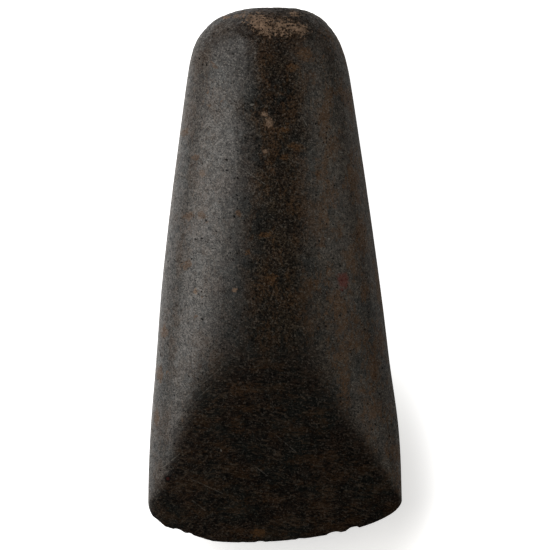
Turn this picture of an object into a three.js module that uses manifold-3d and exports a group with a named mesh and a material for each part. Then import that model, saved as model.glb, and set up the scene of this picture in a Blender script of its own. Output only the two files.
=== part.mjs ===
// A polished stone axe head: one piece of ground and polished dark stone, with no haft.
// It lies on its back face. Sizes are in millimetres.
// +Y runs from the cutting edge to the butt, +Z is up, out of the front face, and the origin is
// on the surface it lies on, under the middle of its bounding box.

import * as THREE from "three";
import { ParametricGeometry } from "three/addons/geometries/ParametricGeometry.js";
import { mergeVertices } from "three/addons/utils/BufferGeometryUtils.js";
import Module from "manifold-3d";

// ---- Driving dimensions ----

const LENGTH = 180;
const BLADE_WIDTH = 85.5;

// How far each face stands off the plane of the cutting edge, at the thickest place.
const FRONT_BULGE = 21;
const BACK_BULGE = 19.6;
const SECTION_FULLNESS = 2.1; // exponent of the cross-section: 2 is an ellipse, more is squarer

// Each side of the outline, from its half width at the butt. The flare is 1 for a straight side,
// and more for one that swells out and runs parallel near the blade. The shoulder is the length
// that the butt's rounding takes up. Shoulder and corner have exponents: 2 is a quarter ellipse,
// and more is squarer. The corner is that side's stretch of the cutting edge. The swell is how far
// the side stands out, or in, of that plain curve at one place. Towards the blade the side's
// cross-section grows leaner, between two stations, down to the exponent at the blade.
const LEFT = {
  sign: -1,
  buttHalfWidth: 26.0,
  flare: 1.54,
  shoulder: 21.5,
  shoulderSquareness: 2.8,
  cornerSquareness: 2.25,
  swell: -0.35,
  swellY: -29,
  leansFromY: -28,
  leansToY: -68,
  bladeFullness: 1.5,
};
const RIGHT = {
  sign: 1,
  buttHalfWidth: 21.45,
  flare: 1.285,
  shoulder: 27.3,
  shoulderSquareness: 3.03,
  cornerSquareness: 1.88,
  swell: 0.7,
  swellY: -52,
  leansFromY: 5,
  leansToY: -45,
  bladeFullness: 1.45,
};
const SWELL_REACH = 24;

// The cutting edge curves from corner to corner, lowest a little left of the middle.
const EDGE_DEPTH = 14.3;
const EDGE_CREST_X = -11;
const EDGE_ROWS_REACH = 62; // over this length the straight sections bend to follow the edge

// The bevels: at this distance from the edge they would reach the full bulge.
const BEVEL_REACH = 67;
const BEVEL_CONVEXITY = 0.84; // 1 is a flat bevel, less is a rounder one
const BEVEL_SHOULDER = 6; // higher is a crisper line between bevel and body

// In thickness the butt is a blunt dome, on a body that thins towards it.
const BUTT_NOSE = 17;
const BUTT_NOSE_FULLNESS = 2.25;
const THICKEST_Y = 2;
const BUTT_THINNING = 0.24;

// The back face is ground flat where it bears on the ground.
const FLAT_DEPTH = 0.9;

// Flakes lost from the cutting edge: where along it, the radius of the scar, and its bite.
const EDGE_CHIPS = [
  { x: -38.9, radius: 2.6, bite: 0.5 },
  { x: -32.4, radius: 2.2, bite: 1.6 },
  { x: -28.4, radius: 1.8, bite: 1.3 },
  { x: -5.0, radius: 2.4, bite: 0.3 },
  { x: 8.2, radius: 1.8, bite: 0.2 },
  { x: 19.6, radius: 2.4, bite: 0.7 },
  { x: 26.3, radius: 2.4, bite: 0.9 },
];

// Straight worn facets, each a side of a block laid against the outline: a point on the facet,
// and the way it faces, in degrees from +X.
const WORN_FACETS = [
  { x: -30.6, y: -86.6, faces: 252.6 }, // the left end of the cutting edge
  { x: 19.2, y: 82.9, faces: 43 }, // the right shoulder of the butt
];

const FACETS_AROUND = 68;
const FACETS_ALONG = 58;

// ---- Places worked out from them ----

const BUTT_Y = LENGTH / 2;
const CORNER_Y = EDGE_DEPTH - LENGTH / 2;
const EDGE_PLANE_Z = BACK_BULGE - FLAT_DEPTH;
const SIDE_LENGTH = BUTT_Y - CORNER_Y;
const BLADE_HALF_WIDTH = BLADE_WIDTH / 2;

// A quarter of a superellipse: 0 at the end of a rounding, and 1 where it runs into the body.
function rounding(distance, reach, exponent) {
  const stillToGo = 1 - Math.min(1, distance / reach);
  return (1 - stillToGo ** exponent) ** (1 / exponent);
}

// The lower of two heights, with a soft line where they cross. It is 0 where either is.
function blendedLower(a, b, crispness) {
  if (a <= 0 || b <= 0) return 0;
  return (a ** -crispness + b ** -crispness) ** (-1 / crispness);
}

// The outline's half width on one side, at a station along the axe.
function halfWidth(side, stationY) {
  const fromCorner = Math.max(0, stationY - CORNER_Y) / SIDE_LENGTH;
  const taper = (BLADE_HALF_WIDTH - side.buttHalfWidth) * fromCorner ** side.flare;
  const fromSwell = Math.min(1, Math.abs(stationY - side.swellY) / SWELL_REACH);
  return (
    (BLADE_HALF_WIDTH - taper + side.swell * (1 - fromSwell ** 2) ** 2) *
    rounding(BUTT_Y - stationY, side.shoulder, side.shoulderSquareness)
  );
}

// The exponent of one side's cross-section at a station.
function fullness(side, stationY) {
  const lean = THREE.MathUtils.smoothstep(-stationY, -side.leansFromY, -side.leansToY);
  return SECTION_FULLNESS + (side.bladeFullness - SECTION_FULLNESS) * lean;
}

// How much of the edge's depth a row has at x: 1 at the crest and 0 at the sides.
function edgeShare(side, x, sideHalfWidth) {
  const crestToSide = sideHalfWidth - side.sign * EDGE_CREST_X;
  const across = Math.abs(x - EDGE_CREST_X) / crestToSide;
  return (1 - Math.min(1, across) ** side.cornerSquareness) ** (1 / side.cornerSquareness);
}

// The cutting edge, seen from above.
function edgeY(x) {
  const side = x < EDGE_CREST_X ? LEFT : RIGHT;
  return CORNER_Y - EDGE_DEPTH * edgeShare(side, x, BLADE_HALF_WIDTH);
}

// The height of the body at its middle, before the bevel takes it down.
function crownHeight(bulge, y) {
  const towardsButt = Math.max(0, y - THICKEST_Y) / (BUTT_Y - THICKEST_Y);
  return (
    bulge *
    (1 - BUTT_THINNING * towardsButt ** 2) *
    rounding(BUTT_Y - y, BUTT_NOSE, BUTT_NOSE_FULLNESS)
  );
}

// ---- The body, as one closed surface ----

// u goes once round the section, from the right side under the back face.
// v goes from the cutting edge to the butt, closer together at both ends.
function bodyPoint(u, v, target) {
  const angle = -2 * Math.PI * u;
  const stationY = CORNER_Y + (SIDE_LENGTH * (1 - Math.cos(Math.PI * v))) / 2;
  const side = Math.cos(angle) < 0 ? LEFT : RIGHT;
  const power = 2 / fullness(side, stationY);
  const across = Math.sign(Math.cos(angle)) * Math.abs(Math.cos(angle)) ** power;
  const upright = Math.abs(Math.sin(angle)) < 1e-9 ? 0 : Math.abs(Math.sin(angle)) ** power;

  const x = across * halfWidth(side, stationY);
  const bend = 1 - Math.min(1, (stationY - CORNER_Y) / EDGE_ROWS_REACH);
  const rowSide = x < EDGE_CREST_X ? LEFT : RIGHT;
  const rowShare = edgeShare(rowSide, x, halfWidth(rowSide, stationY));
  const y = stationY - EDGE_DEPTH * bend ** 2 * rowShare;

  const bulge = Math.sin(angle) >= 0 ? FRONT_BULGE : BACK_BULGE;
  const fromEdge = Math.max(0, y - edgeY(x));
  const bevel = v === 0 ? 0 : bulge * (fromEdge / BEVEL_REACH) ** BEVEL_CONVEXITY;
  const height = blendedLower(upright * crownHeight(bulge, y), bevel, BEVEL_SHOULDER);
  target.set(x, y, EDGE_PLANE_Z + Math.sign(Math.sin(angle)) * height);
}

// ---- Solids and cuts ----

const wasm = await Module();
wasm.setup();

// A closed geometry as a solid, with its coincident vertices joined and its empty triangles dropped.
function solidOf(geometry) {
  const bare = geometry.clone();
  bare.deleteAttribute("normal");
  bare.deleteAttribute("uv");
  const merged = mergeVertices(bare, 1e-4);
  const index = Array.from(merged.index.array);
  const kept = [];
  for (let i = 0; i < index.length; i += 3) {
    const [a, b, c] = index.slice(i, i + 3);
    if (a !== b && b !== c && c !== a) kept.push(a, b, c);
  }
  return new wasm.Manifold(
    new wasm.Mesh({
      numProp: 3,
      vertProperties: merged.attributes.position.array,
      triVerts: new Uint32Array(kept),
    }),
  );
}

function geometryOf(solid) {
  const { vertProperties, triVerts } = solid.getMesh();
  const geometry = new THREE.BufferGeometry();
  geometry.setAttribute("position", new THREE.BufferAttribute(vertProperties, 3));
  geometry.setIndex(new THREE.BufferAttribute(triVerts, 1));
  geometry.computeVertexNormals();
  return geometry;
}

// A block under the plane that the axe lies on, which takes the back face down to a flat.
function groundBlock() {
  const block = new THREE.BoxGeometry(2 * BLADE_WIDTH, 2 * LENGTH, BACK_BULGE);
  return solidOf(block.translate(0, 0, -BACK_BULGE / 2));
}

// A ball that bites a flake out of the cutting edge, from outside it.
function edgeFlake({ x, radius, bite }) {
  const ball = new THREE.SphereGeometry(radius, 14, 10);
  return solidOf(ball.translate(x, edgeY(x) - radius + bite, EDGE_PLANE_Z));
}

// A block outside the outline, whose near side is the facet.
function facetBlock({ x, y, faces }) {
  const size = 2 * BLADE_WIDTH;
  const block = new THREE.BoxGeometry(size, size, size);
  block.translate(size / 2, 0, 0);
  block.rotateZ(THREE.MathUtils.degToRad(faces));
  return solidOf(block.translate(x, y, EDGE_PLANE_Z));
}

function axeHead() {
  const body = solidOf(new ParametricGeometry(bodyPoint, FACETS_AROUND, FACETS_ALONG));
  const cutters = [groundBlock(), ...EDGE_CHIPS.map(edgeFlake), ...WORN_FACETS.map(facetBlock)];
  return cutters.reduce((solid, cutter) => solid.subtract(cutter), body);
}

// ---- The part ----

const stone = new THREE.MeshStandardMaterial({ color: 0x2b2723, roughness: 0.55, metalness: 0 });

const head = new THREE.Mesh(geometryOf(axeHead()), stone);
head.name = "axe_head";

const part = new THREE.Group();
part.add(head);

export default part;
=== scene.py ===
"""The looks of a ground and polished stone axe head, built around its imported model.

The head lies on its back face with its front face up. Everything is in metres in the model's own
frame: +Y runs from the cutting edge to the butt, +X is to the right seen from above, +Z is up.
"""

import math

import bpy
from bpy.props import (
    FloatProperty,
    FloatVectorProperty,
    IntProperty,
    PointerProperty,
)
from mathutils import Matrix, Vector


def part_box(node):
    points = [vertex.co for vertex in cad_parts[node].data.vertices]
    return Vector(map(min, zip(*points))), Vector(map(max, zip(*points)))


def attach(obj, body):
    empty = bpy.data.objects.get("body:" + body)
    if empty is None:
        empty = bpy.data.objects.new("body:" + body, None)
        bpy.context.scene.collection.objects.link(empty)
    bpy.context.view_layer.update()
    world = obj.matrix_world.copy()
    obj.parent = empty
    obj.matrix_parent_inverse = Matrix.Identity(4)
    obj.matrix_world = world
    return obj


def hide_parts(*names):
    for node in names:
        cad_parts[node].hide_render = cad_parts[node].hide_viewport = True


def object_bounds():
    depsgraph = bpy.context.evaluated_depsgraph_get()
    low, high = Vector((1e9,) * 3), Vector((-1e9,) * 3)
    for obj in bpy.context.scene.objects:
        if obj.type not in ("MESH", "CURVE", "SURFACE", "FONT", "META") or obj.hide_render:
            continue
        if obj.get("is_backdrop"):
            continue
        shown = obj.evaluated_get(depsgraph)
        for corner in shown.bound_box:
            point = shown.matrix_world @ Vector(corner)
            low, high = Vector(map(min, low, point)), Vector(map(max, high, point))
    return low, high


bl_info = {
    "name": "Polished stone axe head",
    "version": (1, 0, 0),
    "blender": (4, 5, 0),
    "location": "3D View > Sidebar > Stone axe",
    "description": "Makes a ground and polished stone axe head and the stage it lies on",
    "category": "Add Mesh",
}

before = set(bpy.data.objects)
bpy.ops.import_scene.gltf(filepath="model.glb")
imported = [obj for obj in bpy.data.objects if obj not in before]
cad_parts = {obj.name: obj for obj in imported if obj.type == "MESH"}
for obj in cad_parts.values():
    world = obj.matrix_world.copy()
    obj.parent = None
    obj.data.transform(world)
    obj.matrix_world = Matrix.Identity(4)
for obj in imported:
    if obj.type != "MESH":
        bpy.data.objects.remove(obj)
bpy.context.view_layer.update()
HEAD_LOW, HEAD_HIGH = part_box("axe_head")

MM = 0.001

# Kinds of socket
FLOAT = "NodeSocketFloat"
VECTOR = "NodeSocketVector"

# ---- The head's form, the same named sizes as its solid model ----

SECTION_FULLNESS = 2.1
LEFT = {
    "sign": -1,
    "butt_half_width": 26.0 * MM,
    "flare": 1.54,
    "shoulder": 21.5 * MM,
    "shoulder_squareness": 2.8,
    "corner_squareness": 2.25,
    "swell": -0.35 * MM,
    "swell_y": -29 * MM,
    "leans_from_y": -28 * MM,
    "leans_to_y": -68 * MM,
    "blade_fullness": 1.5,
}
RIGHT = {
    "sign": 1,
    "butt_half_width": 21.45 * MM,
    "flare": 1.285,
    "shoulder": 27.3 * MM,
    "shoulder_squareness": 3.03,
    "corner_squareness": 1.88,
    "swell": 0.7 * MM,
    "swell_y": -52 * MM,
    "leans_from_y": 5 * MM,
    "leans_to_y": -45 * MM,
    "blade_fullness": 1.45,
}
SWELL_REACH = 24 * MM
EDGE_CREST_X = -11 * MM
EDGE_ROWS_REACH = 62 * MM
BEVEL_CONVEXITY = 0.84
BEVEL_SHOULDER = 6
BUTT_NOSE = 17 * MM
BUTT_NOSE_FULLNESS = 2.25
THICKEST_Y = 2 * MM
BUTT_THINNING = 0.24
FLAT_DEPTH = 0.9 * MM

# Flakes lost from the cutting edge: where along it, half the scar's width, and its bite.
EDGE_CHIPS = [
    {"x": -38.9 * MM, "half_width": 1.9 * MM, "bite": 0.5 * MM},
    {"x": -32.4 * MM, "half_width": 1.6 * MM, "bite": 0.5 * MM},
    {"x": -28.4 * MM, "half_width": 1.1 * MM, "bite": 0.4 * MM},
    {"x": -5.0 * MM, "half_width": 1.5 * MM, "bite": 0.3 * MM},
    {"x": 8.2 * MM, "half_width": 1.2 * MM, "bite": 0.25 * MM},
    {"x": 19.6 * MM, "half_width": 2.2 * MM, "bite": 0.6 * MM},
    {"x": 26.3 * MM, "half_width": 2.0 * MM, "bite": 0.8 * MM},
]

# The worn facets: a point on each, and the way it faces, in degrees from +X.
EDGE_FACET = {"x": -30.6 * MM, "y": -86.6 * MM, "faces": 252.6}
SHOULDER_FACET = {"x": 19.2 * MM, "y": 82.9 * MM, "faces": 43}

# The mesh: how many facets run around and along, and how much of the rows each end takes.
FACETS_AROUND = 300
FACETS_ALONG = 325
EDGE_BAND = {"length": 10 * MM, "rows": 25}
BUTT_BAND = {"length": 27 * MM, "rows": 70}


# ---- Arithmetic with nodes ----


class Field:
    """A number or vector that varies over the stone. Arithmetic on it adds nodes to its tree."""

    def __init__(self, tree, socket):
        self.tree = tree
        self.socket = socket

    def _math(self, operation, *values):
        node = self.tree.nodes.new("ShaderNodeMath")
        node.operation = operation
        for socket, value in zip(node.inputs, values):
            fill(self.tree, socket, value)
        return Field(self.tree, node.outputs[0])

    def __add__(self, other):
        return self._math("ADD", self, other)

    def __radd__(self, other):
        return self._math("ADD", other, self)

    def __sub__(self, other):
        return self._math("SUBTRACT", self, other)

    def __rsub__(self, other):
        return self._math("SUBTRACT", other, self)

    def __mul__(self, other):
        return self._math("MULTIPLY", self, other)

    def __rmul__(self, other):
        return self._math("MULTIPLY", other, self)

    def __truediv__(self, other):
        return self._math("DIVIDE", self, other)

    def __rtruediv__(self, other):
        return self._math("DIVIDE", other, self)

    def __pow__(self, other):
        return self._math("POWER", self, other)

    def __neg__(self):
        return self._math("MULTIPLY", self, -1)

    def __abs__(self):
        return self._math("ABSOLUTE", self)

    def sin(self):
        return self._math("SINE", self)

    def cos(self):
        return self._math("COSINE", self)

    def sign(self):
        return self._math("SIGN", self)

    def at_most(self, other):
        return self._math("MINIMUM", self, other)

    def at_least(self, other):
        return self._math("MAXIMUM", self, other)

    def over(self, other):
        """1 where this is greater than the other, 0 elsewhere."""
        return self._math("GREATER_THAN", self, other)

    def step(self, low, high):
        """A smooth step from 0 at low to 1 at high."""
        node = add(
            self.tree,
            "ShaderNodeMapRange",
            {"Value": self, "From Min": low, "From Max": high},
            interpolation_type="SMOOTHSTEP",
        )
        return Field(self.tree, node.outputs[0])

    def between(self, low, high):
        """A straight ramp from low where this is 0 to high where it is 1."""
        return self * (high - low) + low

    def parts(self):
        """The three numbers of a vector."""
        node = add(self.tree, "ShaderNodeSeparateXYZ", {0: self})
        return [Field(self.tree, socket) for socket in node.outputs]

    def vector(self, operation, *values, out=0):
        """A vector operation on this vector. The output is 1 for a dot product or a length."""
        node = self.tree.nodes.new("ShaderNodeVectorMath")
        node.operation = operation
        fill(self.tree, node.inputs[0], self)
        for socket, value in zip(node.inputs[1:], values):
            fill(self.tree, socket, value)
        return Field(self.tree, node.outputs[out])

    def scaled(self, amount):
        node = self.tree.nodes.new("ShaderNodeVectorMath")
        node.operation = "SCALE"
        fill(self.tree, node.inputs[0], self)
        fill(self.tree, node.inputs["Scale"], amount)
        return Field(self.tree, node.outputs[0])


def fill(tree, socket, value):
    """Joins a field to a socket, or sets the socket's own value."""
    if isinstance(value, Field):
        tree.links.new(value.socket, socket)
    else:
        socket.default_value = value


def add(tree, kind, inputs=(), **settings):
    """A new node in the tree, with its settings made and its inputs filled."""
    node = tree.nodes.new(kind)
    for name, value in settings.items():
        setattr(node, name, value)
    for name, value in dict(inputs).items():
        fill(tree, node.inputs[name], value)
    return node


def vector_of(tree, x, y, z):
    return Field(tree, add(tree, "ShaderNodeCombineXYZ", {"X": x, "Y": y, "Z": z}).outputs[0])


def noise(tree, place, scale, detail=2.0, roughness=0.5, distortion=0.0):
    node = add(
        tree,
        "ShaderNodeTexNoise",
        {
            "Vector": place,
            "Scale": scale,
            "Detail": detail,
            "Roughness": roughness,
            "Distortion": distortion,
        },
    )
    return Field(tree, node.outputs[0])


def smoothed(value):
    """A bump that is 1 where the value is 0, and runs out level where it is 1 or -1."""
    inside = (1 - value * value).at_least(0)
    return inside * inside


# ---- The head's surface, in the same steps as its solid model ----


def rounding(distance, reach, exponent):
    still_to_go = 1 - (distance / reach).at_most(1)
    return (1 - still_to_go**exponent) ** (1 / exponent)


def blended_lower(a, b, crispness):
    return a * b / (a**crispness + b**crispness) ** (1 / crispness)


def chosen(second, a, b):
    """The second of two values where the mask is 1, and the first where it is 0."""
    return a + (b - a) * second


def line_y(facet, x):
    """How far along the axe a worn facet's line is at x."""
    turn = math.radians(facet["faces"])
    slope = -math.cos(turn) / math.sin(turn)
    return (x - facet["x"]) * slope + facet["y"]


def new_tree(kind, name, sockets, outputs):
    """A node tree with named inputs and outputs, and its inputs as fields."""
    tree = bpy.data.node_groups.new(name, kind)
    for label, socket_type, value in sockets:
        socket = tree.interface.new_socket(name=label, in_out="INPUT", socket_type=socket_type)
        if value is not None:
            socket.default_value = value
    for label, socket_type in outputs:
        tree.interface.new_socket(name=label, in_out="OUTPUT", socket_type=socket_type)
    source = tree.nodes.new("NodeGroupInput")
    given = {socket.name: Field(tree, socket) for socket in source.outputs if socket.name}
    return tree, given


def stored(tree, mesh, name, value):
    node = add(
        tree,
        "GeometryNodeStoreNamedAttribute",
        {"Geometry": mesh, "Name": name, "Value": value},
        data_type="FLOAT",
        domain="POINT",
    )
    return Field(tree, node.outputs[0])


def moved(tree, mesh, **inputs):
    """The mesh with its points at a new Position, or moved by an Offset."""
    node = add(tree, "GeometryNodeSetPosition", {"Geometry": mesh, **inputs})
    return Field(tree, node.outputs[0])


def place_of(tree):
    return Field(tree, tree.nodes.new("GeometryNodeInputPosition").outputs[0])


def normal_of(tree):
    return Field(tree, tree.nodes.new("GeometryNodeInputNormal").outputs[0])


def station_along(v, side_length):
    """The station of each row. Rows crowd towards the cutting edge and round the butt."""
    edge_share = EDGE_BAND["rows"] / FACETS_ALONG
    butt_share = 1 - BUTT_BAND["rows"] / FACETS_ALONG
    near_edge = (v / edge_share).at_most(1) ** 1.5 * EDGE_BAND["length"]
    middle = ((v - edge_share) / (butt_share - edge_share)).at_least(0).at_most(1)
    middle_length = side_length - EDGE_BAND["length"] - BUTT_BAND["length"]
    round_butt = ((v - butt_share) / (1 - butt_share)).at_least(0) * (math.pi / 2)
    return near_edge + middle * middle_length + round_butt.sin() * BUTT_BAND["length"]


def ground_surface(tree, given):
    """The head's closed surface before any wear, with what the finish needs stored on it."""
    length, blade_width = given["Length"], given["Blade width"]
    edge_depth = given["Edge depth"]
    butt_y = length / 2
    corner_y = edge_depth - butt_y
    side_length = butt_y - corner_y
    blade_half_width = blade_width / 2

    grid = add(
        tree,
        "GeometryNodeMeshGrid",
        {
            "Size X": 1.0,
            "Size Y": 1.0,
            "Vertices X": FACETS_AROUND + 1,
            "Vertices Y": FACETS_ALONG + 1,
        },
    )
    mesh = Field(tree, grid.outputs[0])
    u, v, _ = [part + 0.5 for part in place_of(tree).parts()]

    # u goes once round the section, from the right side under the back face.
    angle = u * (-2 * math.pi)
    station = corner_y + station_along(v, side_length)
    leaner = []
    for side in (LEFT, RIGHT):
        lean = (-station).step(-side["leans_from_y"], -side["leans_to_y"])
        leaner.append(lean.between(SECTION_FULLNESS, side["blade_fullness"]))
    power = 2 / chosen(angle.cos().over(0), *leaner)
    across = angle.cos().sign() * abs(angle.cos()) ** power
    upright = abs(angle.sin()) ** power
    on_front = angle.sin().over(0)

    from_corner = (station - corner_y).at_least(0) / side_length
    half_widths = []
    for side in (LEFT, RIGHT):
        taper = (blade_half_width - side["butt_half_width"]) * from_corner ** side["flare"]
        swell = smoothed((station - side["swell_y"]) / SWELL_REACH) * side["swell"]
        end = rounding(butt_y - station, side["shoulder"], side["shoulder_squareness"])
        half_widths.append((blade_half_width - taper + swell) * end)
    x = across * chosen(across.over(0), *half_widths)

    def edge_share(side, half_width):
        crest_to_side = half_width - side["sign"] * EDGE_CREST_X
        share = (abs(x - EDGE_CREST_X) / crest_to_side).at_most(1)
        squareness = side["corner_squareness"]
        return (1 - share**squareness) ** (1 / squareness)

    right_of_crest = x.over(EDGE_CREST_X)
    row_share = chosen(
        right_of_crest, edge_share(LEFT, half_widths[0]), edge_share(RIGHT, half_widths[1])
    )
    full_share = chosen(
        right_of_crest, edge_share(LEFT, blade_half_width), edge_share(RIGHT, blade_half_width)
    )
    edge_y = corner_y - edge_depth * full_share
    bend = 1 - ((station - corner_y) / EDGE_ROWS_REACH).at_most(1)
    row_y = station - edge_depth * bend**2 * row_share

    lost = edge_loss(tree, x, edge_y, given)
    near_edge = (1 - (row_y - edge_y) / (7 * MM)).at_least(0)
    y = row_y + lost * near_edge**2

    from_edge = (y - edge_y).at_least(0)
    bulge = chosen(on_front, given["Back bulge"], given["Front bulge"])
    towards_butt = (y - THICKEST_Y).at_least(0) / (butt_y - THICKEST_Y)
    thinning = 1 - BUTT_THINNING * towards_butt**2
    crown = bulge * thinning * rounding(butt_y - y, BUTT_NOSE, BUTT_NOSE_FULLNESS)
    body = upright * crown
    bevel = bulge * (from_edge / given["Bevel reach"]) ** BEVEL_CONVEXITY
    height = blended_lower(body, bevel, BEVEL_SHOULDER) * v.over(0)
    edge_plane = given["Back bulge"] - FLAT_DEPTH
    z = edge_plane + chosen(on_front, -height, height)

    mesh = stored(tree, mesh, "bevel", (body - bevel).step(-1.5 * MM, 2.5 * MM))
    mesh = moved(tree, mesh, Position=vector_of(tree, x, y, z))
    merged = add(tree, "GeometryNodeMergeByDistance", {"Geometry": mesh, "Distance": 1e-6})
    return Field(tree, merged.outputs[0])


def edge_loss(tree, x, edge_y, given):
    """How far the cutting edge has been eaten back at x, by wear, flaking and crushing."""
    worn = (line_y(EDGE_FACET, x) - edge_y).at_least(0)
    lost = worn
    for chip in EDGE_CHIPS:
        inside = (1 - ((x - chip["x"]) / chip["half_width"]) ** 2).at_least(0)
        lost = lost + inside**0.5 * chip["bite"]
    along = vector_of(tree, x, given["Seed"], 0.0)
    crushed = noise(tree, along, 420.0, detail=3.0, roughness=0.6).step(0.5, 0.8)
    wavy = noise(tree, along, 90.0, detail=1.0)
    return lost + crushed * given["Edge crushing"] + wavy * (given["Edge crushing"] * 0.6)


def shoulder_facet(tree, mesh):
    """The bruised facet on the butt's right shoulder, as a plane the surface is pressed back to."""
    turn = math.radians(SHOULDER_FACET["faces"])
    facing = (math.cos(turn), math.sin(turn), 0.0)
    start = (SHOULDER_FACET["x"], SHOULDER_FACET["y"], 0.0)
    proud = place_of(tree).vector("SUBTRACT", start).vector("DOT_PRODUCT", facing, out=1)
    proud = proud.at_least(0)
    offset = vector_of(tree, proud * -facing[0], proud * -facing[1], 0.0)
    return moved(tree, mesh, Offset=offset)


def unevenness(tree, mesh, given):
    """Shallow grinding facets along the body, slow undulation, and a battered butt."""
    x, y, z = place_of(tree).parts()
    shift = vector_of(tree, 0.0, 0.0, given["Seed"])
    lengthwise = vector_of(tree, x, y * 0.22, z).vector("ADD", shift)
    facets = noise(tree, lengthwise, 75.0, detail=1.0).step(0.25, 0.75)
    slow = noise(tree, place_of(tree).vector("ADD", shift), 38.0, detail=2.0)
    at_butt = y.step(66 * MM, 86 * MM)
    coarse = noise(tree, place_of(tree), 330.0, detail=3.0, roughness=0.6).step(0.3, 0.75)
    sunk = (facets * 0.4 + slow * 0.6) * given["Unevenness"]
    sunk = sunk + coarse * at_butt * given["Butt battering"]
    clear_of_edge = (y + 90 * MM).step(3 * MM, 18 * MM)
    return moved(tree, mesh, Offset=normal_of(tree).scaled(-1 * sunk * clear_of_edge))


def pecking_pits(tree, mesh, given):
    """Dents left from pecking the head to shape, which the grinding never quite took out."""
    x, y, _ = place_of(tree).parts()
    middle_strip = 1 - abs(x).step(7 * MM, 20 * MM)
    above_bevel = y.step(-50 * MM, -15 * MM)
    at_butt = y.step(70 * MM, 86 * MM)
    crowding = (middle_strip * above_bevel).between(0.22, 1.0) + at_butt * 0.8
    points = add(
        tree,
        "GeometryNodeDistributePointsOnFaces",
        {"Mesh": mesh, "Density": crowding * given["Pit density"], "Seed": 7},
        distribute_method="RANDOM",
    )
    pits = Field(tree, points.outputs["Points"])
    chance = add(tree, "FunctionNodeRandomValue", data_type="FLOAT")
    chance.inputs[2].default_value = 0.0
    chance.inputs[3].default_value = 1.0
    chance.inputs["Seed"].default_value = 11
    share = Field(tree, chance.outputs[1])
    size = (share**2.2).between(given["Smallest pit"], given["Largest pit"])
    pits = stored(tree, pits, "pit_radius", size)

    nearest = add(
        tree,
        "GeometryNodeSampleNearest",
        {"Geometry": pits, "Sample Position": place_of(tree)},
        domain="POINT",
    )
    index = Field(tree, nearest.outputs[0])

    def at_pit(value, kind):
        node = tree.nodes.new("GeometryNodeSampleIndex")
        node.data_type = kind
        node.domain = "POINT"
        fill(tree, node.inputs["Geometry"], pits)
        fill(tree, node.inputs["Value"], value)
        fill(tree, node.inputs["Index"], index)
        return Field(tree, node.outputs[0])

    radius_name = add(
        tree, "GeometryNodeInputNamedAttribute", {"Name": "pit_radius"}, data_type="FLOAT"
    )
    radius = at_pit(Field(tree, radius_name.outputs[0]), "FLOAT")
    centre = at_pit(place_of(tree), "FLOAT_VECTOR")
    ragged = noise(tree, place_of(tree), 900.0, detail=1.0).between(0.7, 1.3)
    away = place_of(tree).vector("DISTANCE", centre, out=1) * ragged
    dent = smoothed((away / radius).at_most(1))
    mesh = stored(tree, mesh, "pit", dent)
    depth = dent * radius * given["Pit depth"]
    return moved(tree, mesh, Offset=normal_of(tree).scaled(-1 * depth))


def ground_flat(tree, mesh):
    """The back face never reaches below the surface that the head lies on."""
    x, y, z = place_of(tree).parts()
    return moved(tree, mesh, Position=vector_of(tree, x, y, z.at_least(0)))


def crisp_edges(tree, mesh):
    """Smooth shading, except across the cutting edge and other sharp breaks."""
    smooth = add(tree, "GeometryNodeSetShadeSmooth", {0: mesh, "Shade Smooth": True}, domain="FACE")
    angle = Field(tree, tree.nodes.new("GeometryNodeInputMeshEdgeAngle").outputs[0])
    crisp = add(
        tree,
        "GeometryNodeSetShadeSmooth",
        {0: Field(tree, smooth.outputs[0]), 1: angle.over(0.7), "Shade Smooth": False},
        domain="EDGE",
    )
    return Field(tree, crisp.outputs[0])


def head_tree(sizes, material):
    """The geometry nodes that grind, wear and pit the head."""
    sockets = [(label, FLOAT, value) for label, value in sizes.items()]
    tree, given = new_tree(
        "GeometryNodeTree", "Ground stone head", sockets, [("Geometry", "NodeSocketGeometry")]
    )
    mesh = ground_surface(tree, given)
    mesh = shoulder_facet(tree, mesh)
    mesh = unevenness(tree, mesh, given)
    mesh = pecking_pits(tree, mesh, given)
    mesh = ground_flat(tree, mesh)
    mesh = crisp_edges(tree, mesh)
    real = add(tree, "GeometryNodeRealizeInstances", {0: mesh})
    finished = add(tree, "GeometryNodeSetMaterial", {"Geometry": Field(tree, real.outputs[0])})
    finished.inputs["Material"].default_value = material
    result = tree.nodes.new("NodeGroupOutput")
    tree.links.new(finished.outputs[0], result.inputs[0])
    return tree


# ---- The finish ----


def use_group(tree, group, **inputs):
    """Places a shared group in a tree. Underscores in the names stand for spaces."""
    node = tree.nodes.new("ShaderNodeGroup")
    node.node_tree = group
    for name, value in inputs.items():
        fill(tree, node.inputs[name.replace("_", " ")], value)
    return {socket.name: Field(tree, socket) for socket in node.outputs}


def close_group(tree, outputs):
    result = tree.nodes.new("NodeGroupOutput")
    for name, value in outputs.items():
        tree.links.new(value.socket, result.inputs[name])
    return tree


def tinted(tree, amount, base, tint):
    """The base colour turned towards the tint by the amount."""
    node = tree.nodes.new("ShaderNodeMix")
    node.data_type = "RGBA"
    fill(tree, node.inputs[0], amount)
    fill(tree, node.inputs[6], base)
    fill(tree, node.inputs[7], tint)
    return Field(tree, node.outputs[2])


def voronoi(tree, place, scale, out="Distance", feature="F1"):
    node = add(tree, "ShaderNodeTexVoronoi", {"Vector": place, "Scale": scale}, feature=feature)
    return Field(tree, node.outputs[out])


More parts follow.
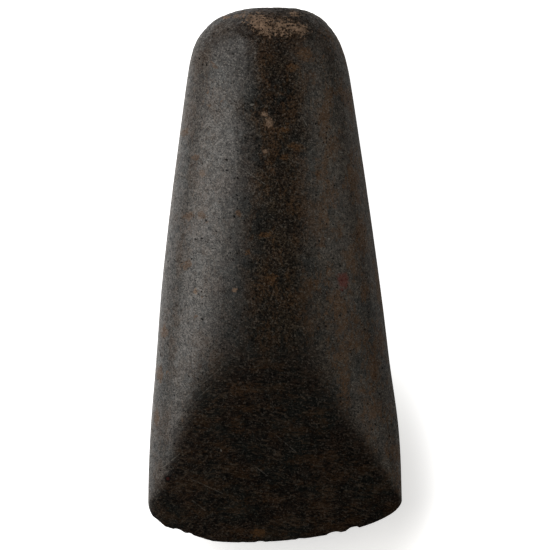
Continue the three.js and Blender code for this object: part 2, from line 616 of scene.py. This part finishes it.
def grain_group():
    """Crystals: ragged pale flecks and dark specks among middling grains."""
    tree, given = new_tree(
        "ShaderNodeTree",
        "Stone grain",
        [
            ("Place", VECTOR, None),
            ("Grain per mm", FLOAT, 1.5),
            ("Fleck share", FLOAT, 0.08),
            ("Speck share", FLOAT, 0.2),
        ],
        [
            ("Tone", FLOAT),
            ("Fleck", FLOAT),
            ("Speck", FLOAT),
        ],
    )
    place, per_mm = given["Place"], given["Grain per mm"]
    tone = noise(tree, place, per_mm, detail=2.0, roughness=0.8)
    ragged = place.vector("ADD", vector_of(tree, tone, tone * -1, tone).scaled(1.2 / per_mm))
    crystal = voronoi(tree, ragged, per_mm, out="Color").parts()
    fleck_and_glint = crystal[0].step(1 - given["Fleck share"], 1 - given["Fleck share"] * 0.4)
    speck = crystal[1].step(1 - given["Speck share"], 1 - given["Speck share"] * 0.4)
    tone = tone.step(0.34, 0.66)
    return close_group(tree, {"Tone": tone, "Fleck": fleck_and_glint, "Speck": speck})


def pits_group():
    """Fine pits, too small for the mesh: where they are, and how deep."""
    tree, given = new_tree(
        "ShaderNodeTree",
        "Fine pits",
        [
            ("Place", VECTOR, None),
            ("Pits per mm", FLOAT, 0.8),
            ("Share", FLOAT, 0.4),
            ("Radius", FLOAT, 0.35),
        ],
        [("Pit", FLOAT)],
    )
    place, per_mm = given["Place"], given["Pits per mm"]
    bent = noise(tree, place, per_mm * 1.7, detail=1.0)
    ragged = place.vector("ADD", vector_of(tree, bent, bent * -1, bent).scaled(1.1 / per_mm))
    cells = add(tree, "ShaderNodeTexVoronoi", {"Vector": ragged, "Scale": per_mm})
    away = Field(tree, cells.outputs["Distance"])
    chance = Field(tree, cells.outputs["Color"]).parts()
    reach = given["Radius"] * chance[1].between(0.4, 1.0)
    hollow = 1 - (away / reach).step(0.45, 1.0)
    return close_group(tree, {"Pit": hollow * (1 - chance[0].over(given["Share"]))})


def stain_group():
    """A ragged stain: broad drifts broken up by finer ones."""
    tree, given = new_tree(
        "ShaderNodeTree",
        "Ragged stain",
        [
            ("Place", VECTOR, None),
            ("Shrink", VECTOR, (1.0, 1.0, 1.0)),
            ("Drifts per mm", FLOAT, 0.08),
            ("Cover", FLOAT, 0.4),
            ("Raggedness", FLOAT, 0.6),
        ],
        [("Stain", FLOAT)],
    )
    place = given["Place"].vector("MULTIPLY", given["Shrink"])
    broad = noise(tree, place, given["Drifts per mm"], detail=3.0, roughness=0.6)
    fine = noise(tree, place, given["Drifts per mm"] * 7, detail=3.0, roughness=0.75)
    level = broad + (fine - 0.5) * given["Raggedness"]
    threshold = 1 - given["Cover"]
    return close_group(tree, {"Stain": level.step(threshold, threshold + 0.16)})


def striation_group():
    """Fine straight lines from grinding and use, all running one way over the front face."""
    tree, given = new_tree(
        "ShaderNodeTree",
        "Striations",
        [
            ("Place", VECTOR, None),
            ("Direction", FLOAT, 0.0),
            ("Lines per mm", FLOAT, 2.5),
            ("Line length", FLOAT, 12.0),
            ("Share", FLOAT, 0.3),
        ],
        [("Line", FLOAT)],
    )
    x, y, z = given["Place"].parts()
    cos, sin = given["Direction"].cos(), given["Direction"].sin()
    along = x * cos + y * sin
    over = y * cos - x * sin
    stretched = vector_of(tree, along / given["Line length"], over * given["Lines per mm"], z * 0.3)
    lines = noise(tree, stretched, 1.0, detail=2.0, roughness=0.6)
    threshold = 1 - given["Share"]
    return close_group(tree, {"Line": lines.step(threshold, threshold + 0.12)})


def spot_group():
    """One ragged spot, at a centre and with half sizes in millimetres, turned by an angle."""
    tree, given = new_tree(
        "ShaderNodeTree",
        "Ragged spot",
        [
            ("Place", VECTOR, None),
            ("Centre", VECTOR, None),
            ("Half size", VECTOR, (1.0, 1.0, 30.0)),
            ("Turn", FLOAT, 0.0),
            ("Rough edge", FLOAT, 0.0),
        ],
        [("Spot", FLOAT)],
    )
    turned = tree.nodes.new("ShaderNodeVectorRotate")
    turned.rotation_type = "Z_AXIS"
    fill(tree, turned.inputs["Vector"], given["Place"].vector("SUBTRACT", given["Centre"]))
    fill(tree, turned.inputs["Angle"], -1 * given["Turn"])
    away = Field(tree, turned.outputs[0]).vector("DIVIDE", given["Half size"])
    level = away.vector("LENGTH", out=1) + given["Rough edge"]
    return close_group(tree, {"Spot": 1 - level.step(0.55, 1.1)})


def scratch_group():
    """One straight scratch between two places, fading and breaking up along its length."""
    tree, given = new_tree(
        "ShaderNodeTree",
        "Scratch",
        [
            ("Place", VECTOR, None),
            ("From", VECTOR, None),
            ("To", VECTOR, None),
            ("Width", FLOAT, 0.2),
            ("Unbroken", FLOAT, 1.0),
        ],
        [("Scratch", FLOAT)],
    )
    flat = (1.0, 1.0, 0.0)
    start = given["Place"].vector("MULTIPLY", flat).vector("SUBTRACT", given["From"])
    line = given["To"].vector("SUBTRACT", given["From"])
    share = start.vector("DOT_PRODUCT", line, out=1) / line.vector("DOT_PRODUCT", line, out=1)
    share = share.at_least(0).at_most(1)
    away = start.vector("SUBTRACT", line.scaled(share)).vector("LENGTH", out=1)
    mark = 1 - (away / given["Width"]).step(0.3, 1.0)
    return close_group(tree, {"Scratch": mark * given["Unbroken"]})


# Marks that can be told apart on the front face, in millimetres from the origin: the centre, half
# the size each way, and the angle that the mark is turned by. Each reaches up from the ground
# through the front face, so the height of its middle is half its depth too.
MARK_HALF_DEPTH = 30.0
CRUST_PATCHES = [
    ((-4.6, 83.6), (7.6, 3.4), -0.5),
    ((2.2, 82.0), (5.2, 3.2), 0.0),
    ((8.6, 81.4), (3.4, 2.4), -0.4),
    ((6.6, 87.0), (2.0, 1.2), 0.0),
    ((-16.6, 86.2), (1.8, 1.0), 0.0),
    ((-13.0, 86.4), (1.2, 0.9), 0.0),
]
CRUST_HALO = [((1.5, 80.0), (17.0, 11.0), -0.1)]
DARK_PLACES = [((1.0, 58.0), (7.5, 9.0), 0.0)]
TAN_SPOTS = [
    ((-3.5, 53.1), (1.2, 1.0), 0.0),
    ((-1.9, 50.2), (1.6, 2.0), -0.4),
    ((-3.2, 40.6), (0.9, 0.7), 0.0),
    ((-26.4, -5.5), (1.0, 0.9), 0.0),
    ((-13.3, -5.1), (1.0, 0.9), 0.0),
]
RUSTY_SPOTS = [
    ((3.2, 47.9), (2.2, 1.3), 0.0),
    ((7.2, 42.3), (3.4, 1.4), -0.25),
    ((3.1, 39.0), (1.7, 1.2), 0.0),
    ((10.0, 73.0), (3.6, 2.6), -0.4),
    ((6.0, 69.0), (2.6, 1.8), 0.4),
    ((-30.3, 47.6), (1.8, 1.4), 0.5),
    ((-26.3, 39.0), (1.5, 1.2), 0.0),
    ((-24.2, 33.6), (1.4, 1.4), 0.0),
    ((-28.6, 19.6), (2.2, 1.6), 0.3),
    ((-24.2, 19.8), (1.9, 1.4), -0.3),
    ((-29.2, 3.4), (2.3, 1.7), 0.5),
    ((-3.0, 13.2), (3.0, 1.2), 0.1),
    ((-1.2, -1.4), (2.4, 2.4), -0.6),
    ((-12.0, 20.2), (1.4, 1.2), 0.0),
    ((-8.9, 7.4), (1.2, 1.2), 0.0),
    ((-5.2, -86.6), (2.8, 1.8), 0.1),
    ((-37.0, -19.0), (1.6, 2.4), 0.0),
    ((-38.6, -33.0), (1.4, 3.4), 0.1),
    ((-39.6, -48.0), (1.3, 3.2), 0.0),
]
PALE_FLECKS = [
    ((-7.6, 56.3), (0.9, 0.4), 0.1),
    ((17.9, 11.9), (0.5, 0.4), 0.0),
    ((22.0, 40.7), (0.7, 0.3), 0.0),
    ((-17.9, -58.5), (0.35, 0.6), 0.3),
]
RED_STAIN = [((22.4, -1.9), (2.3, 3.0), 0.0)]
DARK_RED_DOT = [((-35.8, -68.1), (0.7, 0.7), 0.0)]
DOT_RING = [((-35.8, -68.1), (1.35, 1.35), 0.0)]

# Where each scratch starts and ends, and how plain it is.
SCRATCHES = [
    ((-11.9, 35.8), (-3.5, 30.1), 0.8),
    ((9.3, 51.6), (10.9, 48.9), 0.8),
    ((13.6, 62.6), (14.4, 59.6), 0.8),
    ((-28.3, -68.0), (-17.2, -73.2), 0.6),
    ((-27.7, -75.4), (-23.4, -78.8), 0.5),
    ((-6.5, -64.0), (-2.6, -67.0), 0.8),
    ((-37.5, -64.4), (-31.8, -59.7), 0.8),
    ((-32.8, -48.0), (-21.0, -36.5), 0.5),
    ((-31.5, -42.0), (-19.0, -32.0), 0.4),
    ((0.0, -53.0), (7.0, -59.0), 0.5),
    ((-0.8, -17.5), (-0.4, -28.5), 0.2),
]


# The stone hardly shines by itself. What shines is the polish, as a coat.
STONE_SPECULAR_LEVEL = 0.04
POLISH_IOR = 1.7

# Colours of the marks that nobody would change
BLACK = (0.0012, 0.001, 0.0009, 1.0)
DARK_RED = (0.035, 0.009, 0.007, 1.0)
PALE_GREY = (0.2, 0.19, 0.17, 1.0)


def highest(masks):
    """The highest of several masks at each place."""
    total = masks[0]
    for mask in masks[1:]:
        total = total.at_least(mask)
    return total


def spots(tree, group, place, marks, rough_edge):
    """All the marks of one kind as a single mask."""
    return highest(
        [
            use_group(
                tree,
                group,
                Place=place,
                Centre=(*centre, MARK_HALF_DEPTH),
                Half_size=(*half_size, MARK_HALF_DEPTH),
                Turn=turn,
                Rough_edge=rough_edge,
            )["Spot"]
            for centre, half_size, turn in marks
        ]
    )


def stone_material(finish):
    """Dark ground stone: grain, pits, soil stain, crust, striations and a satin polish."""
    material = bpy.data.materials.new("Ground dark stone")
    material.use_nodes = True
    tree = material.node_tree
    shader = tree.nodes["Principled BSDF"]

    # Places in the material are in millimetres.
    object_place = Field(tree, tree.nodes.new("ShaderNodeTexCoord").outputs["Object"])
    place = object_place.scaled(1000.0)
    x, y, z = place.parts()

    def attribute(name):
        return Field(tree, add(tree, "ShaderNodeAttribute", attribute_name=name).outputs["Fac"])

    bevel = attribute("bevel")
    dent = attribute("pit")
    on_front = z.step(17.0, 20.0)

    grains, pits, stains = grain_group(), pits_group(), stain_group()
    striae, spot, scratch = striation_group(), spot_group(), scratch_group()

    def effect(group, output, **inputs):
        """One output of a shared group, placed on the stone unless it is given its own Place."""
        return use_group(tree, group, **{"Place": place, **inputs})[output]

    def marked(marks, rough_edge):
        return spots(tree, spot, place, marks, rough_edge) * on_front

    # Where the stone differs: the pitted strip down the middle, the butt, the flanks, and one
    # dark place in the strip.
    wander = noise(tree, place, 0.06, detail=2.0) * 16.0 - 8.0
    ragged = noise(tree, place, 0.9, detail=4.0, roughness=0.75) * 2 - 1
    lobed = noise(tree, place, 0.28, detail=3.0, roughness=0.7) * 2 - 1
    strip = (1 - abs(x - 1.0 + wander).step(4.0, 13.0)) * y.step(-45.0, -15.0)
    butt = y.step(62.0, 84.0)
    right_flank = (x + wander).step(6.0, 20.0) * (1 - bevel)
    left_flank = (-x + wander).step(12.0, 22.0) * (1 - bevel)
    dark_place = marked(DARK_PLACES, lobed * 0.5)
    dull_place = strip.at_least(bevel)

    # Grain. On the bevel it is drawn out crosswise.
    grain = use_group(
        tree, grains, Place=place, Grain_per_mm=1.9, Fleck_share=0.06, Speck_share=0.22
    )
    fine = use_group(
        tree, grains, Place=place, Grain_per_mm=3.2, Fleck_share=0.1, Speck_share=0.2
    )
    bent = place.vector("ADD", vector_of(tree, 0.0, lobed * 0.9, 0.0))
    drawn_place = bent.vector("MULTIPLY", (0.3, 1.0, 1.0))
    drawn = noise(tree, drawn_place, 1.7, roughness=0.8).step(0.36, 0.64)
    drawn_fine = noise(tree, drawn_place, 3.4, roughness=0.8).step(0.36, 0.64)
    mottle = noise(tree, place, 0.5, roughness=0.7).step(0.33, 0.67)
    web = noise(tree, place, 1.25, roughness=0.7)
    coarse = chosen(bevel * 0.85, grain["Tone"], drawn)
    finest = chosen(bevel * 0.6, fine["Tone"], drawn_fine)
    even = coarse * 0.5 + finest * 0.5
    tone = (coarse * finest.between(0.3, 1.35)).at_most(1)
    speck = grain["Speck"].at_least(fine["Speck"])

    # Pits too small for the mesh, crowded in the strip. Their near-black colour below is painted
    # shade inside them.
    pitted = (strip * 0.8 + butt * 0.35 + dark_place * 0.5).at_most(1)
    small_share = pitted.between(0.16, 0.7) - bevel * 0.08
    small = effect(pits, "Pit", Pits_per_mm=0.85, Share=small_share, Radius=0.46)
    tiny = effect(pits, "Pit", Pits_per_mm=1.9, Share=pitted.between(0.3, 0.6), Radius=0.52)
    pit = small.at_least(tiny * 0.8)
    pit = pit.at_least((1 - web.step(0.4, 0.5)) * pitted.between(0.15, 0.95))

    # Smudges of soil, and short curled pale marks on the left flank, which are painted glints where
    # the polish would catch the light
    smudge = effect(pits, "Pit", Pits_per_mm=0.2, Share=0.4, Radius=0.26)
    smudge = smudge * ragged.step(-0.6, 0.0) * (left_flank + strip * 0.6).at_most(1)
    curl = noise(tree, place, 0.8, detail=1.0)
    curled_glint = (1 - abs(curl - 0.5).step(0.02, 0.06)) * web.step(0.52, 0.58)
    fleck_and_glint = (grain["Fleck"] * 0.5).at_least(fine["Fleck"] * 0.6) * (1 - bevel * 0.35)
    fleck_and_glint = fleck_and_glint.at_least(curled_glint * left_flank * 0.35)

    # Stains. The rusty ones run lengthwise on the flanks and crosswise on the bevel.
    brown = effect(stains, "Stain", Drifts_per_mm=0.1, Cover=0.56, Raggedness=1.0)
    grey = effect(stains, "Stain", Drifts_per_mm=0.055, Cover=0.55, Raggedness=0.5)
    lengthwise = {"Shrink": (1.0, 0.5, 1.0), "Drifts_per_mm": 0.16}
    crosswise = {"Shrink": (0.45, 1.0, 1.0), "Drifts_per_mm": 0.22}
    rusty_flank = effect(stains, "Stain", Cover=0.54, Raggedness=0.7, **lengthwise)
    rusty_bevel = effect(stains, "Stain", Cover=0.51, Raggedness=0.8, **crosswise)
    rusty_share = (right_flank + strip * 0.45 + left_flank * 0.25 + 0.1).at_most(1)
    rusty = chosen(bevel, rusty_flank * rusty_share, rusty_bevel * 0.28)

    # Striations, thickest on the bevel: rising on its left, falling in drifts, and level
    lines = {"Place": bent, "Lines_per_mm": 1.35, "Share": 0.42}
    rising = effect(striae, "Line", Direction=0.75, Line_length=5.0, **lines)
    falling = effect(striae, "Line", Direction=-0.35, Line_length=5.0, **lines)
    level = effect(striae, "Line", Direction=-0.08, Line_length=4.0, **lines)
    rising = rising * (-x + wander).step(10.0, 26.0)
    falling = falling * noise(tree, place, 0.07).step(0.42, 0.58)
    line = highest([rising, falling, level]) * bevel.between(0.2, 1.0)
    unbroken = ragged.step(-0.3, 0.2)
    scratched = on_front * highest(
        [
            effect(
                scratch,
                "Scratch",
                From=(*start, 0.0),
                To=(*end, 0.0),
                Width=0.2,
                Unbroken=unbroken * plainness,
            )
            for start, end, plainness in SCRATCHES
        ]
    )

    # Marks
    crust = spots(tree, spot, place, CRUST_PATCHES, ragged * 1.9).step(0.2, 0.7) * on_front
    crust = crust * web.step(0.36, 0.48) * (1 - grain["Speck"] * 0.7)
    halo = marked(CRUST_HALO, lobed * 0.8)
    tan = marked(TAN_SPOTS, ragged * 1.6)
    rust_spot = marked(RUSTY_SPOTS, ragged * 1.3)
    pale = marked(PALE_FLECKS, ragged * 0.5)
    red = marked(RED_STAIN, ragged * 0.6 + lobed * 0.9)
    red_dot = marked(DARK_RED_DOT, ragged * 0.3)
    dot_ring = marked(DOT_RING, ragged * 0.2)

    # Colour, from the stone outwards: how much of each layer there is, and its colour
    film = right_flank * 0.85 + left_flank * 0.4 + strip * 0.85 + 0.15
    film = film.at_most(0.9) * (1 - bevel) * (1 - dark_place * 0.8)
    rust = (rusty * tone.between(0.35, 1.0)).at_least(smudge * tone.between(0.55, 1.0))
    layers = [
        (tone, finish.stone_colour),
        (bevel * 0.4, BLACK),
        (film * tone.between(0.2, 1.0), finish.film_colour),
        (brown * tone.between(0.1, 1.0), finish.soil_colour),
        (grey * 0.8, finish.grey_colour),
        ((speck * 0.8).at_least((1 - mottle) * 0.6), BLACK),
        (rust, finish.ochre_colour),
        (line * 0.8, finish.line_colour),
        (halo * tone.between(0.2, 0.7), finish.soil_colour),
        (rust_spot * tone.between(0.4, 0.9), finish.ochre_colour),
        # Pale grains, and the painted glints of the curled marks on the left flank
        (fleck_and_glint, finish.fleck_and_glint_colour),
        # Painted shade: the fine pits coloured near black
        (pit * 0.95, BLACK),
        (red * tone.between(0.45, 0.9), finish.red_colour),
        (dot_ring, BLACK),
        (red_dot * 0.9, DARK_RED),
        (tan * even.between(0.2, 0.8), finish.crust_colour),
        (crust * mottle.between(0.45, 0.95), finish.crust_colour),
        (scratched.at_least(pale) * 0.5, PALE_GREY),
    ]
    colour = tuple(finish.dark_colour)
    for amount, tint in layers:
        colour = tinted(tree, amount, colour, tuple(tint))
    fill(tree, shader.inputs["Base Color"], colour)
    roughness = 0.5 + even * 0.15 + pit * 0.2 + crust.at_least(tan) * 0.2
    fill(tree, shader.inputs["Roughness"], roughness.at_most(1))
    shader.inputs["Specular IOR Level"].default_value = STONE_SPECULAR_LEVEL

    # Polish, on what the grinding stone reached and the soil left bare
    covered = highest(
        [crust, tan * 0.8, rust_spot * 0.5, smudge * 0.5, rusty * 0.5, red * 0.6, dot_ring]
    )
    polish = chosen(dull_place, even.between(0.4, 1.15), even.between(-0.12, 0.58))
    polish = polish * (1 - bevel * 0.35)
    polish = polish * (1 - right_flank * 0.2) * (1 - y.step(40.0, 85.0) * 0.35)
    polish = polish * mottle.between(0.7, 1.1)
    polish = polish * (1 - pit * 0.95) * (1 - covered * 0.9)
    polish = polish * (1 - dent * 0.5) * (1 - speck * 0.35) + fleck_and_glint * 0.3
    fill(tree, shader.inputs["Coat Weight"], polish.at_most(1).at_least(0))
    shader.inputs["Coat IOR"].default_value = POLISH_IOR
    shader.inputs["Coat Roughness"].default_value = finish.roughness

    # Relief, in metres
    relief = (
        even * (0.03 * MM)
        - pit * (0.08 * MM)
        + crust * (0.10 * MM)
        - line * (0.006 * MM)
        - scratched * (0.02 * MM)
    )
    bump = add(tree, "ShaderNodeBump", {"Height": relief, "Strength": 1.0, "Distance": 1.0})
    tree.links.new(bump.outputs[0], shader.inputs["Normal"])
    return material


# ---- What a user would change ----


def length_property(name, description, default):
    return FloatProperty(
        name=name, description=description, default=default, subtype="DISTANCE", unit="LENGTH"
    )


class AxeHeadShape(bpy.types.PropertyGroup):
    """Sizes of the head and of what made it uneven."""

    length: length_property(
        "Length", "From the cutting edge to the top of the butt", HEAD_HIGH.y - HEAD_LOW.y
    )
    blade_width: length_property(
        "Blade width", "Across the blade at its widest", HEAD_HIGH.x - HEAD_LOW.x
    )
    edge_depth: length_property(
        "Edge depth", "How far the cutting edge curves beyond its corners", 14.3 * MM
    )
    front_bulge: length_property(
        "Front bulge", "How far the front face stands off the plane of the cutting edge", 21 * MM
    )
    back_bulge: length_property(
        "Back bulge", "How far the back face stands off the plane of the cutting edge", 19.6 * MM
    )
    bevel_reach: length_property(
        "Bevel reach",
        "Distance from the edge at which the bevel would reach the full bulge",
        67 * MM,
    )
    edge_crushing: length_property(
        "Edge crushing", "Depth of the fine crushing along the cutting edge", 0.25 * MM
    )
    unevenness: length_property(
        "Unevenness", "Depth of the shallow facets and hollows left by grinding", 0.3 * MM
    )
    butt_battering: length_property(
        "Butt battering", "Depth of the bruising on the butt", 0.35 * MM
    )
    pit_density: FloatProperty(
        name="Pit density",
        description="Pecking pits in each square metre of the most pitted stone",
        default=50000.0,
        min=0.0,
    )
    smallest_pit: length_property("Smallest pit", "Radius of the smallest pecking pit", 0.5 * MM)
    largest_pit: length_property("Largest pit", "Radius of the largest pecking pit", 1.05 * MM)
    pit_depth: FloatProperty(
        name="Pit depth",
        description="Depth of a pit as a share of its radius",
        default=0.16,
        min=0.0,
        max=1.0,
        subtype="FACTOR",
    )
    seed: IntProperty(
        name="Seed",
        description="Changes the pattern of the unevenness and the crushing",
        default=3,
        min=0,
    )


def colour_property(name, description, default):
    return FloatVectorProperty(
        name=name,
        description=description,
        default=default,
        subtype="COLOR",
        size=4,
        min=0.0,
        max=1.0,
    )


class StoneFinish(bpy.types.PropertyGroup):
    """Colours and sheen of the stone, the soil in it and the marks on it."""

    stone_colour: colour_property(
        "Stone", "The middling grains of the stone", (0.0185, 0.0145, 0.0102, 1.0)
    )
    dark_colour: colour_property("Dark grains", "The darkest grains", (0.002, 0.0016, 0.0014, 1.0))
    film_colour: colour_property(
        "Weathered film", "The paler brown film on the flanks", (0.072, 0.051, 0.03, 1.0)
    )
    grey_colour: colour_property(
        "Grey drifts", "Patches where the stone is a greenish grey", (0.0066, 0.0092, 0.0082, 1.0)
    )
    soil_colour: colour_property(
        "Soil stain", "Brown soil worked into the surface", (0.028, 0.015, 0.0085, 1.0)
    )
    ochre_colour: colour_property(
        "Ochre stain", "Rusty stains in small drifts", (0.09, 0.045, 0.018, 1.0)
    )
    # Also the colour of the painted glints: the curled marks on the left flank
    fleck_and_glint_colour: colour_property("Pale flecks", "Scattered pale grains", (0.09, 0.078, 0.064, 1.0))
    line_colour: colour_property(
        "Striations", "Fine lines from grinding and use", (0.045, 0.033, 0.023, 1.0)
    )
    crust_colour: colour_property(
        "Soil crust", "Dried soil caked on the butt", (0.25, 0.17, 0.118, 1.0)
    )
    red_colour: colour_property(
        "Red stain", "The small dark red stain on the right flank", (0.1, 0.016, 0.012, 1.0)
    )
    roughness: FloatProperty(
        name="Polish roughness",
        description="How satin the polished stone is: more is duller",
        default=0.38,
        min=0.0,
        max=1.0,
        subtype="FACTOR",
    )


class AxeStage(bpy.types.PropertyGroup):
    """The floor, the lights and the camera."""

    floor_size: length_property("Floor size", "Side of the square floor", 8.0)
    # The floor's glow beside the blade, dimmed there as painted shade so the shadow shows
    floor_glow: FloatProperty(
        name="Floor glow",
        description="Light that the floor beside the blade gives off, where the shadow shows",
        default=0.55,
        min=0.0,
    )
    # A painted reflection: the floor left of the head glows for reflections only, and the left
    # flank mirrors that glow
    reflection_glow: FloatProperty(
        name="Reflection glow",
        description="Light that the left flank mirrors from a white card beside it",
        default=0.8,
        min=0.0,
    )
    key_power: FloatProperty(
        name="Key light",
        description="Power of the tall soft light on the left, in watts",
        default=16.2,
        min=0.0,
    )
    fill_power: FloatProperty(
        name="Fill light",
        description="Power of the weak broad light on the right, in watts",
        default=4.4,
        min=0.0,
    )
    camera_height: length_property(
        "Camera height", "How far the camera stands above the cutting edge's plane", 1.2
    )
    margin: FloatProperty(
        name="Margin",
        description="Height of the view as a multiple of the head's length",
        default=1.028,
        min=1.0,
    )


# ---- Making the pieces ----


class STONEAXE_OT_head(bpy.types.Operator):
    """Make the stone head, with its wear, pits and finish"""

    bl_idname = "stoneaxe.head"
    bl_label = "Axe head"
    bl_options = {"REGISTER", "UNDO"}

    def execute(self, context):
        shape = context.scene.axe_head_shape
        sizes = {
            name.replace("_", " ").capitalize(): float(getattr(shape, name))
            for name in AxeHeadShape.__annotations__
        }
        material = stone_material(context.scene.stone_finish)
        head = made_by_nodes("polished_axe_head", head_tree(sizes, material), sizes)
        if len(head.data.polygons) == 0:
            raise RuntimeError("the head's node tree made no faces")
        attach(head, "root")
        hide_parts("axe_head")
        return {"FINISHED"}


def made_by_nodes(name, tree, values):
    """A plain mesh object from a geometry node tree, with the tree's named inputs set."""
    source = bpy.data.objects.new(name + "_source", bpy.data.meshes.new(name + "_source"))
    bpy.context.scene.collection.objects.link(source)
    modifier = source.modifiers.new("nodes", "NODES")
    modifier.node_group = tree
    for item in tree.interface.items_tree:
        if item.in_out == "INPUT" and item.name in values:
            modifier[item.identifier] = values[item.name]
    evaluated = source.evaluated_get(bpy.context.evaluated_depsgraph_get())
    mesh = bpy.data.meshes.new_from_object(evaluated)
    mesh.name = name
    bpy.data.objects.remove(source)
    finished = bpy.data.objects.new(name, mesh)
    bpy.context.scene.collection.objects.link(finished)
    return finished


class STONEAXE_OT_stage(bpy.types.Operator):
    """Make the pale floor, the soft studio lights and the camera that looks straight down"""

    bl_idname = "stoneaxe.stage"
    bl_label = "Stage"
    bl_options = {"REGISTER", "UNDO"}

    def execute(self, context):
        stage = context.scene.axe_stage
        make_floor(stage)
        make_lights(stage)
        make_camera(context.scene, stage)
        return {"FINISHED"}


# The place beside the blade where the floor's glow is dimmed as painted shade, so that the shadow
# shows there: its middle, and its reach.
SHADOW_X, SHADOW_Y = 12 * MM, -75 * MM
SHADOW_REACH_X, SHADOW_REACH_Y = 50 * MM, 60 * MM
# Across this band the floor's glow for reflections only, a painted reflection, fades out from left
# to right
REFLECTION_GLOW_EDGE = 50 * MM


def make_floor(stage):
    """A matt white floor, which is also what the polish mirrors."""
    half = stage.floor_size / 2
    mesh = bpy.data.meshes.new("floor")
    corners = [(-half, -half, 0), (half, -half, 0), (half, half, 0), (-half, half, 0)]
    mesh.from_pydata(corners, [], [(0, 1, 2, 3)])
    floor = bpy.data.objects.new("floor", mesh)
    bpy.context.scene.collection.objects.link(floor)
    material = bpy.data.materials.new("White floor")
    material.use_nodes = True
    tree = material.node_tree
    shader = tree.nodes["Principled BSDF"]
    shader.inputs["Base Color"].default_value = (0.86, 0.86, 0.86, 1.0)
    shader.inputs["Roughness"].default_value = 1.0
    shader.inputs["Specular IOR Level"].default_value = 0.0
    shader.inputs["Emission Color"].default_value = (1.0, 1.0, 1.0, 1.0)
    # Seen by the camera the floor glows white, dimmer beside the blade as painted shade. Left of
    # the head it also glows for reflections only, a painted reflection on the left flank.
    x, y, _ = Field(tree, tree.nodes.new("ShaderNodeTexCoord").outputs["Object"]).parts()
    from_blade = ((x - SHADOW_X) / SHADOW_REACH_X) ** 2 + ((y - SHADOW_Y) / SHADOW_REACH_Y) ** 2
    path = tree.nodes.new("ShaderNodeLightPath")
    seen = Field(tree, path.outputs["Is Camera Ray"])
    mirrored = Field(tree, path.outputs["Is Glossy Ray"])
    backdrop = from_blade.step(0.3, 1.1).between(stage.floor_glow, 1.0)
    painted_reflection = (1 - x.step(-REFLECTION_GLOW_EDGE, REFLECTION_GLOW_EDGE)) * stage.reflection_glow
    fill(tree, shader.inputs["Emission Strength"], seen * backdrop + mirrored * painted_reflection)
    mesh.materials.append(material)
    floor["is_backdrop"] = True


def make_area_light(name, azimuth, elevation, distance, width, height, power, colour):
    """A rectangular soft light facing the head. Azimuth 0 is at +X and 90 at +Y, in degrees."""
    light = bpy.data.lights.new(name, "AREA")
    light.color = colour
    light.shape = "RECTANGLE"
    light.size = width
    light.size_y = height
    light.energy = power
    lamp = bpy.data.objects.new(name, light)
    bpy.context.scene.collection.objects.link(lamp)
    turn, rise = math.radians(azimuth), math.radians(elevation)
    away = Vector(
        (math.cos(turn) * math.cos(rise), math.sin(turn) * math.cos(rise), math.sin(rise))
    )
    side = Vector((-math.sin(turn), math.cos(turn), 0.0))
    lamp.matrix_world = Matrix.Translation(away * distance) @ (
        Matrix((side, away.cross(side), away)).transposed().to_4x4()
    )
    lamp.visible_camera = False
    return lamp


def make_lights(stage):
    make_area_light(
        "key light",
        azimuth=160,
        elevation=39,
        distance=1.2,
        width=1.6,
        height=1.06,
        power=stage.key_power,
        colour=(1.0, 0.97, 0.93),
    )
    make_area_light(
        "fill light",
        azimuth=20,
        elevation=42,
        distance=1.2,
        width=1.4,
        height=1.2,
        power=stage.fill_power,
        colour=(1.0, 0.955, 0.86),
    )
    # The camera sees a nearly white world, which lights the stone hardly at all.
    world = bpy.data.worlds.new("studio")
    world.use_nodes = True
    bpy.context.scene.world = world
    tree = world.node_tree
    background = tree.nodes["Background"]
    path = tree.nodes.new("ShaderNodeLightPath")
    seen = Field(tree, path.outputs["Is Camera Ray"])
    background.inputs["Color"].default_value = (1.0, 1.0, 1.0, 1.0)
    fill(tree, background.inputs["Strength"], seen.between(0.02, 0.95))
    bpy.context.scene.view_settings.view_transform = "Standard"


def make_camera(scene, stage):
    """The camera looks straight down with the butt at the top of the view."""
    data = bpy.data.cameras.new("camera")
    camera = bpy.data.objects.new("camera", data)
    scene.collection.objects.link(camera)
    low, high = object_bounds()
    shape = scene.axe_head_shape
    edge_plane = shape.back_bulge - FLAT_DEPTH
    view_height = (high.y - low.y) * stage.margin
    camera.location = ((low.x + high.x) / 2, (low.y + high.y) / 2, edge_plane + stage.camera_height)
    data.sensor_width = 36.0
    data.lens = data.sensor_width * stage.camera_height / view_height
    data.clip_end = 50.0
    scene.camera = camera


class STONEAXE_PT_panel(bpy.types.Panel):
    """The axe head's settings and the buttons that make it"""

    bl_idname = "STONEAXE_PT_panel"
    bl_label = "Stone axe"
    bl_space_type = "VIEW_3D"
    bl_region_type = "UI"
    bl_category = "Stone axe"

    def draw(self, context):
        scene = context.scene
        groups = (
            (STONEAXE_OT_head, (scene.axe_head_shape, scene.stone_finish)),
            (STONEAXE_OT_stage, (scene.axe_stage,)),
        )
        for operator, settings in groups:
            box = self.layout.box()
            box.operator(operator.bl_idname)
            for group in settings:
                for name in group.__annotations__:
                    box.prop(group, name)


CLASSES = (
    AxeHeadShape,
    StoneFinish,
    AxeStage,
    STONEAXE_OT_head,
    STONEAXE_OT_stage,
    STONEAXE_PT_panel,
)


def register():
    for cls in CLASSES:
        bpy.utils.register_class(cls)
    bpy.types.Scene.axe_head_shape = PointerProperty(type=AxeHeadShape)
    bpy.types.Scene.stone_finish = PointerProperty(type=StoneFinish)
    bpy.types.Scene.axe_stage = PointerProperty(type=AxeStage)


def unregister():
    del bpy.types.Scene.axe_stage
    del bpy.types.Scene.stone_finish
    del bpy.types.Scene.axe_head_shape
    for cls in reversed(CLASSES):
        bpy.utils.unregister_class(cls)


def main():
    register()
    bpy.ops.stoneaxe.head()
    bpy.ops.stoneaxe.stage()


if __name__ == "__main__":
    main()
